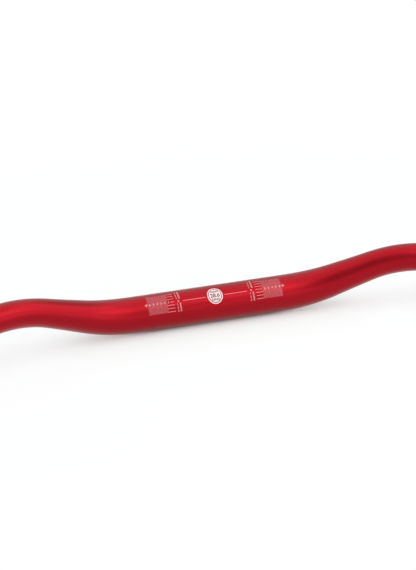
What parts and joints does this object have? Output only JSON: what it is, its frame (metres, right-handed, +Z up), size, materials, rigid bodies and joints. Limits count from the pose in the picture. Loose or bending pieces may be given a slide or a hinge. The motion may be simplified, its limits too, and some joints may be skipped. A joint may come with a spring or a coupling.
{
  "type": "motocross handlebar",
  "caption": "One-piece tapered aluminium handlebar: thick straight clamp section, low rise, and slimmer swept-back grip ends with open bores.",
  "frame": {"origin": "centre of the clamp section, on the tube's axis", "axes": "+X along the clamp section, +Z up with the bar lying on a table on its clamp section and its two end rims, -Y towards the rider's side, where the grip ends sweep to"},
  "size_m": [0.8048, 0.0913, 0.0457],
  "materials": {
    "anodised_red": "satin anodised",
    "scale_marks": "matt marks on the clamp section"
  },
  "bodies": {
    "root": {"handlebar_tube": "anodised_red"}
  },
  "joints": []
}
